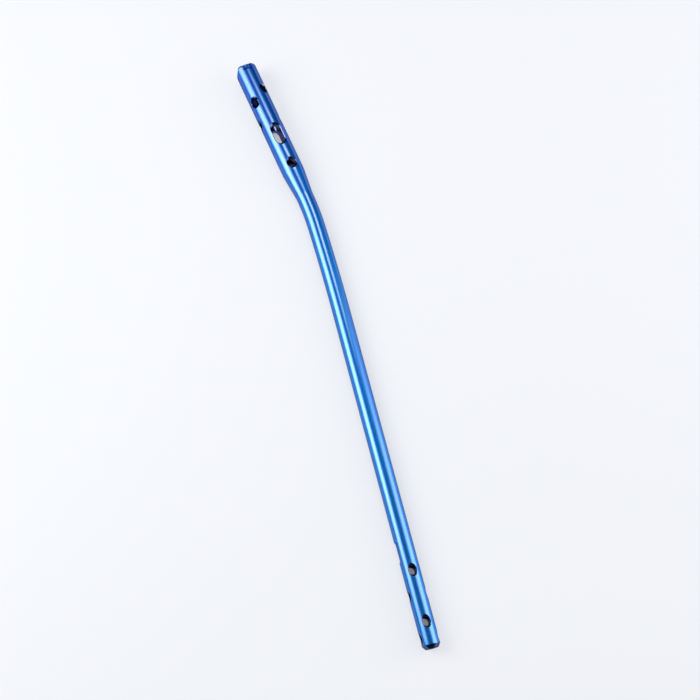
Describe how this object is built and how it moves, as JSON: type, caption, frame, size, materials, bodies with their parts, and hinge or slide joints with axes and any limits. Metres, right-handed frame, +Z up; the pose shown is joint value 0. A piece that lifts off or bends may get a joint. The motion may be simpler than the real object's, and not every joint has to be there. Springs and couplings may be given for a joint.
{
  "type": "intramedullary nail",
  "caption": "Cannulated intramedullary nail: a bent titanium rod with a thicker head, cross holes for locking bolts near both ends and one long slot",
  "frame": {"origin": "on the surface the nail lies on, below the middle of its box", "axes": "X along the straight shaft, from the proximal end to the tip; Z up; Y across, with the nail's back on the +Y side, so the head bends away to -Y"},
  "size_m": [0.2996, 0.0238, 0.0135],
  "materials": {
    "anodised_titanium": "polished, blue anodised titanium alloy"
  },
  "bodies": {
    "root": {"nail": "anodised_titanium"}
  },
  "joints": []
}
